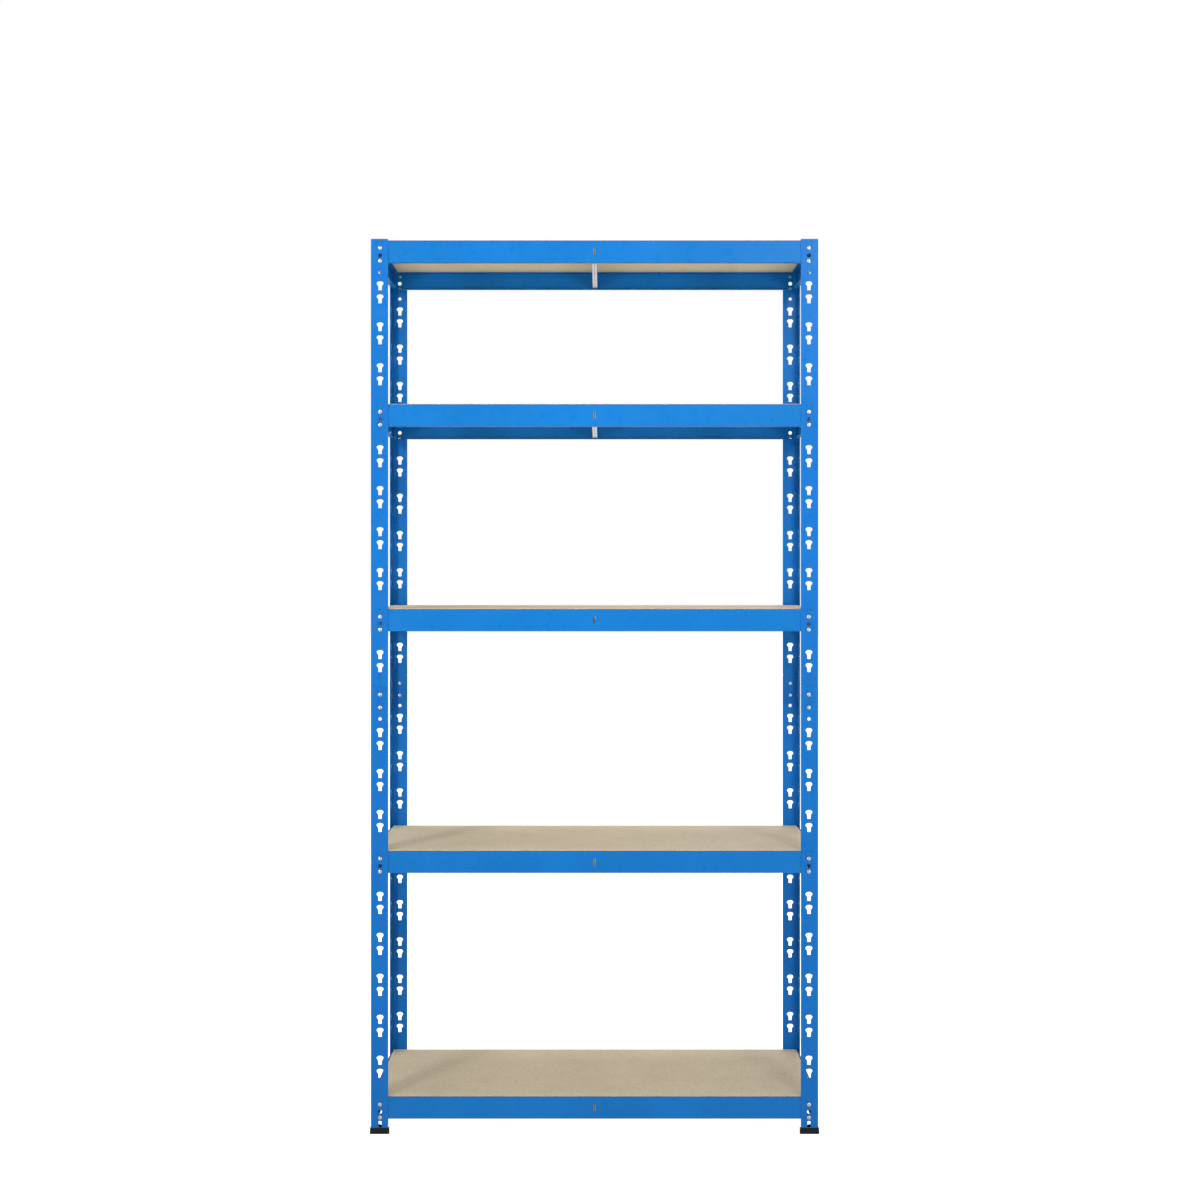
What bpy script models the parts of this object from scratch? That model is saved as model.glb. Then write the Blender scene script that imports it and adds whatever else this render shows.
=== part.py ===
"""Boltless steel shelving: one free-standing bay with five tiers.

Four L-section uprights, each in two halves joined by a splice connector, carry step beams whose
headed rivets hook into pairs of keyholes. A board lies in the step of the four beams of each tier,
over a tie bar. X runs across the width, +Y towards the back and +Z up. The origin is on the floor
under the middle of the bay, and the front faces -Y. All sizes are in metres.
"""
import math

import bmesh
import bpy

# Overall
RACK_WIDTH = 0.900              # across the outer faces of the uprights
RACK_DEPTH = 0.400
RACK_HEIGHT = 1.800             # floor to the tops of the uprights
GAP = 0.0003                    # between faces that touch

# Upright
FLANGE = 0.035                  # width of each flange of the L-section
UPRIGHT_WALL = 0.0012

# Keyholes, in both flanges of every upright
KEYHOLE_LINE = 0.0187           # centre line, from the upright's outer corner
KEYHOLE_TOP = 0.0120            # centre of the highest keyhole, below the end of the half
KEYHOLE_SPACING = 0.0262        # between the two keyholes of a pair
KEYHOLE_PITCH = 0.0824          # from pair to pair
KEYHOLE_TAIL = 0.0400           # least distance from the middle of a pair to the half's lower end
KEYHOLE_HEIGHT = 0.0180
KEYHOLE_CAP = 0.0150            # width where the rivet head goes in
KEYHOLE_CROWN = 0.0080          # width of the flat top of the cap
KEYHOLE_SHOULDER = 0.0040       # from the keyhole's top to its widest place
KEYHOLE_THROAT = 0.0100         # from the keyhole's top to the start of the stem
KEYHOLE_STEM = 0.0070
PIN_HOLE_DROP = 0.0670          # round hole, below the upper end of each half
PIN_HOLE_DIAMETER = 0.0070
TOE_SLOT_RISE = 0.0160          # small slot, above the lower end of each half
TOE_SLOT_WIDTH = 0.0065
TOE_SLOT_HEIGHT = 0.0130

# Rivets on the beams and on the splice connectors
NECK_CLEARANCE = 0.0008         # between the square neck and each side of a keyhole's stem
HEAD_OVERLAP = 0.0007           # reach of the round head past each side of the stem
RIVET_HEAD_BEVEL = 0.0012
RIVET_HEAD_THICKNESS = 0.0017
RIVET_SIDES = 8                 # a multiple of 4, as the neck has four corners

# Step beam
BEAM_HEIGHT = 0.0450
BEAM_WALL = 0.0012
BEAM_STEP = 0.0075              # top edge down to the ledge that carries the board
BEAM_LEDGE = 0.0150             # reach of the ledge, from the outer face
BEAM_LIP = 0.0120               # reach of the lower lip, from the outer face
CORNER_CLEARANCE = 0.0015       # between beams that meet at an upright
LOCK_HOLE_DIAMETER = 0.0080
LOCK_HOLE_RISE = 0.0050         # above the middle of the lower keyhole

# Tie bar
TIE_WIDTH = 0.0100
TIE_WEB = 0.0020
TIE_WALL = 0.0012
TIE_RISE = 0.0030               # its underside, above the beams' underside
TIE_TAB = 0.0120                # height of the tab at each end
TIE_END_CLEARANCE = 0.0005
TAB_CLEARANCE = 0.0012          # round the tab, in the slot of a beam

# Board
BOARD_THICKNESS = 0.0080
BOARD_CLEARANCE = 0.0011        # between the board's edge and the beams

# Splice connector
SPLICE_WALL = 0.0015
SPLICE_MARGIN = 0.0025          # from its edge to the edge of the upright's flange
SPLICE_BELOW = 0.0595           # reach below the joint
SPLICE_ABOVE = 0.0235

# Foot
FOOT_HEIGHT = 0.0120
FOOT_BASE = 0.0030              # under the upright
FOOT_WALL = 0.0020              # outside the upright
FOOT_DRAFT = 0.0004             # the outer wall leans in by this much
FOOT_TOE = 0.0080               # width of the foot's two ends
FOOT_STRAIGHT = 0.0030          # height below the lean

# Values that follow from the sizes above
HEM = 2 * BEAM_WALL
HALF_LENGTH = (RACK_HEIGHT - FOOT_BASE - 2 * GAP) / 2
HALF_BASES = {"lower": FOOT_BASE + GAP, "upper": RACK_HEIGHT - HALF_LENGTH}
JOINT_HEIGHT = HALF_BASES["lower"] + HALF_LENGTH
PAIR_DROP = KEYHOLE_TOP + KEYHOLE_SPACING / 2
PAIRS = 1 + math.floor((HALF_LENGTH - PAIR_DROP - KEYHOLE_TAIL) / KEYHOLE_PITCH)
RIVET_NECK = KEYHOLE_STEM - 2 * NECK_CLEARANCE
RIVET_HEAD = KEYHOLE_STEM + 2 * HEAD_OVERLAP
SEAT_DROP = KEYHOLE_HEIGHT / 2 - GAP - RIVET_NECK / 2
BEAM_FACE_INSET = UPRIGHT_WALL + GAP
BEAM_END_INSET = BEAM_FACE_INSET + BEAM_WALL + CORNER_CLEARANCE
LEDGE_END_INSET = BEAM_FACE_INSET + BEAM_LEDGE + CORNER_CLEARANCE
BOARD_INSET = BEAM_FACE_INSET + HEM + BOARD_CLEARANCE
FOOT_SPAN = FLANGE + 2 * FOOT_WALL

# Each tier hangs on a pair of keyholes: the half of the upright, and the pair counted from the
# half's upper end, or from its lower end when negative. The first tier is the lowest. A tier comes
# off when it is lifted until its rivet heads are in the caps of the keyholes.
TIERS = (("lower", -1), ("lower", 4), ("upper", -2), ("upper", 4), ("upper", 0))

# Each corner: the signs of its X and Y, and the quarter turns from the front left upright.
CORNERS = {
    "front_left": (-1, -1, 0),
    "front_right": (1, -1, 1),
    "back_right": (1, 1, 2),
    "back_left": (-1, 1, 3),
}


def clear_scene():
    for item in list(bpy.data.objects):
        bpy.data.objects.remove(item, do_unlink=True)


def make_material(name, colour, roughness, metallic=0.0):
    material = bpy.data.materials.new(name)
    material.use_nodes = True
    shader = material.node_tree.nodes["Principled BSDF"]
    shader.inputs["Base Color"].default_value = (*colour, 1.0)
    shader.inputs["Roughness"].default_value = roughness
    shader.inputs["Metallic"].default_value = metallic
    material.diffuse_color = (*colour, 1.0)
    return material


def add_prism(mesh, outline, axis, start, end):
    """Add a closed prism: an outline in the plane across an axis, carried from start to end."""
    def point(pair, along):
        first, second = pair
        places = {"x": (along, first, second), "y": (first, along, second), "z": (first, second, along)}
        return places[axis]

    face = mesh.faces.new([mesh.verts.new(point(pair, start)) for pair in outline])
    swept = bmesh.ops.extrude_face_region(mesh, geom=[face])
    moved = [item for item in swept["geom"] if isinstance(item, bmesh.types.BMVert)]
    shift = [far - near for near, far in zip(point((0, 0), start), point((0, 0), end))]
    bmesh.ops.translate(mesh, verts=moved, vec=shift)


def add_box(mesh, x_range, y_range, z_range):
    low_x, high_x = x_range
    low_y, high_y = y_range
    corners = [(low_x, low_y), (high_x, low_y), (high_x, high_y), (low_x, high_y)]
    add_prism(mesh, corners, "z", *z_range)


def finished_mesh(name, mesh):
    """Turn a bmesh into a mesh with its faces pointing out."""
    bmesh.ops.recalc_face_normals(mesh, faces=mesh.faces)
    result = bpy.data.meshes.new(name)
    mesh.to_mesh(result)
    mesh.free()
    return result


def combined(base, tool, operation):
    """The base mesh with the tool mesh cut from it or joined to it."""
    objects = [bpy.data.objects.new(name, mesh) for name, mesh in (("base", base), ("tool", tool))]
    for item in objects:
        bpy.context.scene.collection.objects.link(item)
    modifier = objects[0].modifiers.new("Boolean", "BOOLEAN")
    modifier.operation = operation
    modifier.solver = "EXACT"
    modifier.object = objects[1]
    depsgraph = bpy.context.evaluated_depsgraph_get()
    result = bpy.data.meshes.new_from_object(objects[0].evaluated_get(depsgraph), depsgraph=depsgraph)
    result.name = base.name
    for item in objects:
        bpy.data.objects.remove(item)
    return result


def place(name, mesh, material, location=(0, 0, 0), quarter_turns=0, parent=None):
    """Make one named piece, which may share its mesh with others."""
    if not mesh.materials:
        mesh.materials.append(material)
    item = bpy.data.objects.new(name, mesh)
    item.location = location
    item.rotation_euler.z = quarter_turns * math.pi / 2
    item.parent = parent
    bpy.context.scene.collection.objects.link(item)
    return item


def round_outline(centre_u, centre_v, diameter, sides):
    """A regular polygon with a flat edge at its top."""
    angles = [(step + 0.5) * 2 * math.pi / sides + math.pi / 2 for step in range(sides)]
    radius = diameter / 2
    return [(centre_u + radius * math.cos(a), centre_v + radius * math.sin(a)) for a in angles]


def slot_outline(centre_u, centre_v, width, height):
    u, v = width / 2, height / 2
    return [(centre_u + a * u, centre_v + b * v) for a, b in ((-1, -1), (1, -1), (1, 1), (-1, 1))]


def keyhole_outline(centre_u, centre_v):
    top = centre_v + KEYHOLE_HEIGHT / 2
    right = [
        (KEYHOLE_CROWN / 2, top),
        (KEYHOLE_CAP / 2, top - KEYHOLE_SHOULDER),
        (KEYHOLE_STEM / 2, top - KEYHOLE_THROAT),
        (KEYHOLE_STEM / 2, top - KEYHOLE_HEIGHT),
    ]
    left = [(-u, v) for u, v in reversed(right)]
    return [(centre_u + u, v) for u, v in right + left]


def pair_heights(pair):
    """The two keyholes of a pair, above the lower end of the half."""
    upper = HALF_LENGTH - KEYHOLE_TOP - pair * KEYHOLE_PITCH
    return upper, upper - KEYHOLE_SPACING


def upright_mesh():
    """One half of an upright: outer corner on the Z axis, flanges along +X and +Y."""
    section = [(0, 0), (FLANGE, 0), (FLANGE, UPRIGHT_WALL), (UPRIGHT_WALL, UPRIGHT_WALL),
               (UPRIGHT_WALL, FLANGE), (0, FLANGE)]
    blank = bmesh.new()
    add_prism(blank, section, "z", 0, HALF_LENGTH)
    outlines = [keyhole_outline(KEYHOLE_LINE, z) for pair in range(PAIRS) for z in pair_heights(pair)]
    outlines.append(round_outline(KEYHOLE_LINE, HALF_LENGTH - PIN_HOLE_DROP, PIN_HOLE_DIAMETER, 8))
    outlines.append(slot_outline(KEYHOLE_LINE, TOE_SLOT_RISE, TOE_SLOT_WIDTH, TOE_SLOT_HEIGHT))
    punch = bmesh.new()
    for outline in outlines:
        for axis in "xy":
            add_prism(punch, outline, axis, -UPRIGHT_WALL, 2 * UPRIGHT_WALL)
    return combined(finished_mesh("upright_half", blank), finished_mesh("punch", punch), "DIFFERENCE")


def add_wall(mesh, near, far):
    """Join two rings of the same number of vertices."""
    for index, corner in enumerate(near):
        after = (index + 1) % len(near)
        mesh.faces.new((corner, near[after], far[after], far[index]))


def add_rivet(mesh, centre_u, centre_z, axis, root, head_base):
    """A square neck and a round head, pointing to the negative side of an axis."""
    def ring(outline, along):
        if axis == "y":
            return [mesh.verts.new((u, along, z)) for u, z in outline]
        return [mesh.verts.new((along, u, z)) for u, z in outline]

    corners = slot_outline(centre_u, centre_z, RIVET_NECK, RIVET_NECK)
    neck = corners[-1:] + corners[:-1]
    neck_root = ring(neck, root)
    neck_end = ring(neck, head_base)
    rim = ring(round_outline(centre_u, centre_z, RIVET_HEAD, RIVET_SIDES), head_base)
    tip = head_base - RIVET_HEAD_THICKNESS
    narrow = RIVET_HEAD - 2 * RIVET_HEAD_BEVEL
    top = ring(round_outline(centre_u, centre_z, narrow, RIVET_SIDES), tip)
    mesh.faces.new(neck_root)
    mesh.faces.new(top)
    add_wall(mesh, neck_root, neck_end)
    add_wall(mesh, rim, top)
    share = RIVET_SIDES // len(neck)
    for index, corner in enumerate(neck_end):
        own = rim[index * share:(index + 1) * share]
        following = rim[(index + 1) * share % RIVET_SIDES]
        for first, second in zip(own, own[1:]):
            mesh.faces.new((corner, first, second))
        mesh.faces.new((corner, own[-1], following, neck_end[(index + 1) % len(neck)]))


def beam_mesh(name, span):
    """A step beam: outer face on y = 0 with the inside towards +Y, middle on the Z axis."""
    half_height = BEAM_HEIGHT / 2
    ledge = half_height - BEAM_STEP
    section = [(0, -half_height), (0, half_height), (HEM, half_height), (HEM, ledge), (BEAM_LEDGE, ledge),
               (BEAM_LEDGE, ledge - BEAM_WALL), (BEAM_WALL, ledge - BEAM_WALL),
               (BEAM_WALL, BEAM_WALL - half_height), (BEAM_LIP, BEAM_WALL - half_height),
               (BEAM_LIP, -half_height)]
    end = span / 2 - BEAM_END_INSET
    blank = bmesh.new()
    add_prism(blank, section, "x", -end, end)

    keyhole = span / 2 - KEYHOLE_LINE
    keyhole_low = -KEYHOLE_SPACING / 2
    ledge_end = span / 2 - LEDGE_END_INSET
    cuts = bmesh.new()
    for side in (-1, 1):
        inner, outer = sorted((side * ledge_end, side * span / 2))
        add_box(cuts, (inner, outer), (HEM, BEAM_LEDGE + BEAM_WALL), (-BEAM_HEIGHT, BEAM_HEIGHT))
        hole = round_outline(side * keyhole, keyhole_low + LOCK_HOLE_RISE, LOCK_HOLE_DIAMETER, 8)
        add_prism(cuts, hole, "y", -BEAM_WALL, 2 * BEAM_WALL)
    body = combined(finished_mesh(name, blank), finished_mesh("cuts", cuts), "DIFFERENCE")

    rivets = bmesh.new()
    for side in (-1, 1):
        for row in (-1, 1):
            height = row * KEYHOLE_SPACING / 2 - SEAT_DROP
            add_rivet(rivets, side * keyhole, height, "y", BEAM_WALL / 2, -(UPRIGHT_WALL + 2 * GAP))
    return combined(body, finished_mesh("rivets", rivets), "UNION")


def slotted_beam_mesh(name, span):
    """A long beam, with the slot for the tie bar's tab in the middle of its face."""
    slot = bmesh.new()
    outline = slot_outline(0, 0, TIE_WEB + 2 * TAB_CLEARANCE, TIE_TAB + 2 * TAB_CLEARANCE)
    add_prism(slot, outline, "y", -BEAM_WALL, 2 * BEAM_WALL)
    return combined(beam_mesh(name, span), finished_mesh("slot", slot), "DIFFERENCE")


def tie_bar_mesh():
    """An inverted T, along Y: its web is under the board, and ends in a tab at each beam."""
    half_height = BEAM_HEIGHT / 2
    low = TIE_RISE - half_height
    seat = half_height - BEAM_STEP
    face = RACK_DEPTH / 2 - BEAM_FACE_INSET
    end = face - BEAM_WALL - TIE_END_CLEARANCE
    under_ledge = face - BEAM_LEDGE - TIE_END_CLEARANCE
    right = [(end, low + TIE_WALL / 2), (end, -TIE_TAB / 2), (face, -TIE_TAB / 2), (face, TIE_TAB / 2),
             (end, TIE_TAB / 2), (end, seat - BEAM_WALL - TIE_END_CLEARANCE),
             (under_ledge, seat - BEAM_WALL - TIE_END_CLEARANCE), (under_ledge, seat)]
    left = [(-y, z) for y, z in reversed(right)]
    web = bmesh.new()
    add_prism(web, right + left, "x", -TIE_WEB / 2, TIE_WEB / 2)
    flange = bmesh.new()
    add_box(flange, (-TIE_WIDTH / 2, TIE_WIDTH / 2), (-end, end), (low, low + TIE_WALL))
    return combined(finished_mesh("tie_bar", flange), finished_mesh("web", web), "UNION")


def board_mesh():
    x = RACK_WIDTH / 2 - BOARD_INSET
    y = RACK_DEPTH / 2 - BOARD_INSET
    board = bmesh.new()
    add_box(board, (-x, x), (-y, y), (0, BOARD_THICKNESS))
    return finished_mesh("board", board)


def splice_mesh():
    """A short L-section inside an upright's joint, hooked into the lower half's first keyholes."""
    outer = UPRIGHT_WALL + GAP
    inner = outer + SPLICE_WALL
    reach = FLANGE - SPLICE_MARGIN
    section = [(outer, outer), (reach, outer), (reach, inner), (inner, inner), (inner, reach), (outer, reach)]
    blank = bmesh.new()
    add_prism(blank, section, "z", -SPLICE_BELOW, SPLICE_ABOVE)
    rivets = bmesh.new()
    for drop in (KEYHOLE_TOP, KEYHOLE_TOP + KEYHOLE_SPACING):
        for axis in "xy":
            add_rivet(rivets, KEYHOLE_LINE, -drop - SEAT_DROP, axis, outer + SPLICE_WALL / 2, -GAP)
    return combined(finished_mesh("splice", blank), finished_mesh("rivets", rivets), "UNION")


def foot_outline(inset):
    """A right angle with its long side cut off, round the corner of an upright."""
    low = inset - FOOT_WALL
    high = low + FOOT_SPAN - 2 * inset
    toe = low + FOOT_TOE
    return [(low, low), (high, low), (high, toe), (toe, high), (low, high)]


def foot_mesh():
    """A cap with an L-shaped socket for the end of an upright, its corner on the Z axis."""
    cap = bmesh.new()
    levels = ((0, 0), (0, FOOT_STRAIGHT), (FOOT_DRAFT, FOOT_HEIGHT))
    rings = [[cap.verts.new((x, y, z)) for x, y in foot_outline(inset)] for inset, z in levels]
    for low_ring, high_ring in zip(rings, rings[1:]):
        add_wall(cap, low_ring, high_ring)
    cap.faces.new(rings[0])
    cap.faces.new(rings[-1])
    outer = -GAP
    inner = UPRIGHT_WALL + GAP
    reach = FLANGE + GAP
    socket = bmesh.new()
    section = [(outer, outer), (reach, outer), (reach, inner), (inner, inner), (inner, reach), (outer, reach)]
    add_prism(socket, section, "z", FOOT_BASE, 2 * FOOT_HEIGHT)
    return combined(finished_mesh("foot", cap), finished_mesh("socket", socket), "DIFFERENCE")


def shade_round(mesh):
    mesh.shade_smooth()
    mesh.set_sharp_from_angle(angle=math.radians(50))


def tier_height(half, pair):
    """The middle of a pair of keyholes, above the floor."""
    row = pair if pair >= 0 else PAIRS + pair
    return HALF_BASES[half] + HALF_LENGTH - PAIR_DROP - row * KEYHOLE_PITCH


def build_frame():
    """The uprights, their splice connectors and their feet."""
    paint = make_material("blue_paint", (0.010, 0.171, 0.610), 0.35)
    rubber = make_material("black_plastic", (0.012, 0.012, 0.012), 0.6)
    upright = upright_mesh()
    splice = splice_mesh()
    foot = foot_mesh()
    for mesh in (upright, splice):
        shade_round(mesh)
    for corner, (side_x, side_y, turns) in CORNERS.items():
        x = side_x * RACK_WIDTH / 2
        y = side_y * RACK_DEPTH / 2
        for half, base in HALF_BASES.items():
            place(f"upright_{corner}_{half}", upright, paint, (x, y, base), turns)
        place(f"splice_{corner}", splice, paint, (x, y, JOINT_HEIGHT), turns)
        place(f"foot_{corner}", foot, rubber, (x, y, 0), turns)


def build_tiers():
    """Four beams, a tie bar and a board at each tier, which an empty carries."""
    paint = make_material("blue_beam_paint", (0.012, 0.205, 0.680), 0.35)
    zinc = make_material("galvanised_steel", (0.80, 0.81, 0.82), 0.30, 1.0)
    wood = make_material("board", (0.565, 0.479, 0.323), 0.75)
    long_beam = slotted_beam_mesh("long_beam", RACK_WIDTH)
    short_beam = beam_mesh("short_beam", RACK_DEPTH)
    for mesh in (long_beam, short_beam):
        shade_round(mesh)
    tie_bar = tie_bar_mesh()
    board = board_mesh()
    across = RACK_WIDTH / 2 - BEAM_FACE_INSET
    along = RACK_DEPTH / 2 - BEAM_FACE_INSET
    board_rise = BEAM_HEIGHT / 2 - BEAM_STEP + GAP
    for number, (half, pair) in enumerate(TIERS, start=1):
        carrier = bpy.data.objects.new(f"tier_{number}", None)
        carrier.location.z = tier_height(half, pair)
        bpy.context.scene.collection.objects.link(carrier)
        place(f"front_beam_{number}", long_beam, paint, (0, -along, 0), 0, carrier)
        place(f"right_beam_{number}", short_beam, paint, (across, 0, 0), 1, carrier)
        place(f"back_beam_{number}", long_beam, paint, (0, along, 0), 2, carrier)
        place(f"left_beam_{number}", short_beam, paint, (-across, 0, 0), 3, carrier)
        place(f"tie_bar_{number}", tie_bar, zinc, (0, 0, 0), 0, carrier)
        place(f"board_{number}", board, wood, (0, 0, board_rise), 0, carrier)


clear_scene()
build_frame()
build_tiers()
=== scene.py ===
"""Looks of the boltless steel shelving: bent and punched steel, zinc rivets and tie bars, fibreboards,
moulded feet, their materials, and a plain studio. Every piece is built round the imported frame. Sizes are in
metres, +Z is up, the front faces -Y, and the origin is on the floor under the middle of the bay.
"""
import math

import bmesh
import bpy
from mathutils import Matrix, Vector, noise


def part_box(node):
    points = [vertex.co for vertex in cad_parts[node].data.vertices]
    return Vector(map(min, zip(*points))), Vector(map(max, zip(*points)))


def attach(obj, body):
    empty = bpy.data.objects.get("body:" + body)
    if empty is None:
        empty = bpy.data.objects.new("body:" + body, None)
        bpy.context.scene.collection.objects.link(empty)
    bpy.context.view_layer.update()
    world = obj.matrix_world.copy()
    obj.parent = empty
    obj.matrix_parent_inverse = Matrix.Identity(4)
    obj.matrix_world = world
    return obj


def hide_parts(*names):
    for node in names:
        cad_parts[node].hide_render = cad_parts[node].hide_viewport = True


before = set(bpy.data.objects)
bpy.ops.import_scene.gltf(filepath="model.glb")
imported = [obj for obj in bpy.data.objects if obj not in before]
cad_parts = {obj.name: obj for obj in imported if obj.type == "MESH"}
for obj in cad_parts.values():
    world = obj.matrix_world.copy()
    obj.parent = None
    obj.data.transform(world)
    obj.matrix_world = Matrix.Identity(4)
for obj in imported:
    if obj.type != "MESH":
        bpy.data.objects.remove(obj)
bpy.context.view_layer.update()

# Each corner's side of the middle in X and in Y, and its quarter turns from the front left corner
CORNERS = {
    "front_left": (-1, -1, 0),
    "front_right": (1, -1, 1),
    "back_right": (1, 1, 2),
    "back_left": (-1, 1, 3),
}
HALVES = ("lower", "upper")
TIERS = 5

# Bending and punching
BEND_STEP = 15                  # degrees of bend from one line of vertices to the next
EDGE_EASE = 0.0002              # width of the eased corners of a cut edge
PUNCH_ROLL = 0.0003             # the rim that the punch draws in, on the outer face
PUNCH_BREAK = 0.0002            # the same on the inner face
CORNER_STEPS = 4                # segments in each rounded corner of a hole
SMOOTH_ANGLE = 50               # degrees, above which an edge is shaded sharp

# Upright
UPRIGHT_WALL = 0.0012
UPRIGHT_BEND = 0.0024           # outer radius
KEYHOLE_LINE = 0.0187           # from the outer corner
KEYHOLE_TOP = 0.0120            # centre of the highest keyhole, below the end of the half
KEYHOLE_SPACING = 0.0262        # between the two keyholes of a pair
KEYHOLE_PITCH = 0.0824          # from one pair to the next
KEYHOLE_TAIL = 0.0400           # least height of a pair's middle above the lower end
KEYHOLE_HEIGHT = 0.0180
KEYHOLE_CAP = 0.0150            # width that lets the rivet's head through
KEYHOLE_CROWN = 0.0080          # width at the top
KEYHOLE_SHOULDER = 0.0040       # from the top down to the widest place
KEYHOLE_THROAT = 0.0100         # from the top down to the stem
KEYHOLE_STEM = 0.0070           # width round the rivet's neck
KEYHOLE_RADII = (0.0052, 0.0022, 0.0040, 0.0012)    # crown, shoulder, throat and foot of the stem
PIN_HOLE_DROP = 0.0670          # below the upper end of the half
PIN_HOLE_DIAMETER = 0.0070
TOE_SLOT_RISE = 0.0160          # above the lower end
TOE_SLOT_WIDTH = 0.0065
TOE_SLOT_HEIGHT = 0.0130
CELL_MARGIN = 0.0018            # steel kept above and below a hole in its own patch of mesh
HOLE_STEPS = 28                 # segments of a round hole

# Step beam
BEAM_HEIGHT = 0.0450
BEAM_WALL = 0.0011
HEM_GAP = 0.0002                # between the two layers of the folded top edge
BEAM_STEP = 0.0075              # from the top edge down to the ledge that holds the board
BEAM_HEM = 0.0024               # thickness of the folded top edge
BEAM_LEDGE = 0.0150             # from the outer face to the edge of the ledge
BEAM_LIP = 0.0120               # from the outer face to the edge of the lower lip
BEAM_FACE_INSET = 0.0015        # from the outer face of the upright
BEAM_END_INSET = 0.0042         # of the beam's ends, from the uprights' outer faces
LEDGE_END_INSET = 0.0180        # of the ledge's and the lip's ends
BEAM_BEND = 0.0020              # outer radius of the lower bend
LEDGE_FILLET = 0.0004           # inner radius where the hem turns into the ledge
LOCK_HOLE_DIAMETER = 0.0080
LOCK_HOLE_RISE = 0.0050         # above the middle of the lower keyhole, through which it shows
TIE_SLOT_WIDTH = 0.0044
TIE_SLOT_HEIGHT = 0.0144

# Rivets
RIVET_SEAT_DROP = 0.0060        # from the middle of a keyhole to the rivet seated in it
RIVET_NECK = 0.0052
RIVET_HEAD = 0.0084
RIVET_UPSET = 0.0066            # the head formed on the inside
RIVET_UNDERSIDE = 0.0018        # from the beam's face to the underside of the head
RIVET_TOP = 0.0035
RIVET_SEAT_SHARE = 0.97         # of the head's radius, flat underneath
RIVET_EASE_SHARE = 0.12         # of the head's height, the eased lower edge
RIVET_RIM_SHARE = 0.30          # of the head's height, below the dome
RIVET_DOME_STEP = 15            # degrees
RIVET_SIDES = 24

# Splice connector
SPLICE_WALL = 0.0015
SPLICE_OUTER = 0.0015           # its outer faces, in from the upright's
SPLICE_BEND = 0.0022
SPLICE_HEAD_BASE = 0.0018       # from the splice's face to the underside of its rivets' heads

# Tie bar
TIE_LEAF = 0.0009
TIE_GAP = 0.0001                # between its two leaves
TIE_FOLD = 0.0010               # middle radius of its lower bends
TIE_NOTCH = 0.0017              # cut off the web's top where it passes under a ledge
TIE_NOTCH_REACH = 0.0155        # from the end of the bar
TIE_TAB = 0.0120                # height of the tab in a beam's slot
TIE_TAB_REACH = 0.0017          # its length

# Board
BOARD_ARRIS = 0.0010            # width of its eased edges
BOARD_CHIP = 0.0005             # deepest chip in a sawn arris
CHIP_SCALE = 90                 # of the noise that places the chips
BOARD_CORNER = 0.0012
BOARD_STEP = 0.0060             # between vertices along its edges

# Foot
FOOT_WALL = 0.0020
FOOT_BASE = 0.0030              # under the upright
FOOT_TOE = 0.0080               # width at the two far ends
FOOT_DRAFT = 0.0004             # taper of a moulded wall
FOOT_EASE = 0.0005              # of its upper and lower edges
FOOT_BAND = 0.0030              # top of the straight band, where the taper starts
FOOT_RADIUS = 0.0018
FOOT_CORE_WALL = 0.0018         # round the hollow in its web
FOOT_CORE_DEPTH = 0.0065
FOOT_SOLE_STEP = 0.0008         # depth of the recess in the sole
SOCKET_CLEARANCE = 0.0003       # round and under the upright, and between its halves

# Colours, linear. A paint has a deep, a bright and a worn tone.
UPRIGHT_BLUE = ((0.001, 0.128, 0.428), (0.002, 0.143, 0.480), (0.05, 0.22, 0.52))
BEAM_BLUE = ((0.001, 0.139, 0.428), (0.002, 0.155, 0.478), (0.05, 0.24, 0.52))
BRIGHT_ZINC = (0.88, 0.89, 0.90)
DULL_ZINC = (0.50, 0.52, 0.56)
# Near-black brown of cut zinc edges: partly bare sheared steel, partly a painted dark reflection
SHEARED_EDGE_AND_PAINTED_DARK_REFLECTION = (0.05, 0.035, 0.02)
WHITE = (1.0, 1.0, 1.0)
FLOOR_GREY = (0.85, 0.85, 0.85)

# Studio. A softbox has a name, a place, the point it faces, a width and height, watts, and degrees of spread.
SOFTBOXES = (
    ("left_softbox", (-1.9, -3.2, 2.7), (0, -0.2, 1.38), (0.6, 0.8), 8.0, 65),
    ("right_softbox", (1.2, -3.2, 2.7), (0, -0.2, 1.38), (0.6, 0.8), 6.1, 65),
    ("low_left_softbox", (-2.3, -4.2, 0.6), (0, 0, 1.6), (0.8, 0.6), 6.5, 65),
    ("low_right_softbox", (2.3, -4.2, 0.6), (0, 0, 1.6), (0.8, 0.6), 6.5, 65),
    ("top_softbox", (0, 0.3, 4.5), (0, 0, 0), (3.0, 2.0), 45, 180),
    ("back_softbox", (0.8, 4.5, 2.4), (0, 0, 0.9), (2.0, 1.5), 45, 180),
)
AMBIENT = 0.36                  # strength of the world as a light
FLOOR_REACH = 30                # half its width
FLOOR_GLOW = 0.84               # added to the floor's own light, so that it meets the white backdrop
FLOOR_BOUNCE = 0.30             # the glow that lights the shelving from below
CAMERA_ASIDE = 0.011            # to the right of the middle
CAMERA_DISTANCE = 4.022         # from the front of the uprights
CAMERA_HEIGHT = 1.134
CAMERA_LENS = 60                # millimetres on a 36 mm sensor
CAMERA_SHIFT = -0.025           # small, because the other views keep it: the shelving sits low in the frame


# ---------------------------------------------------------------- bent and punched sheet

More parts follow.
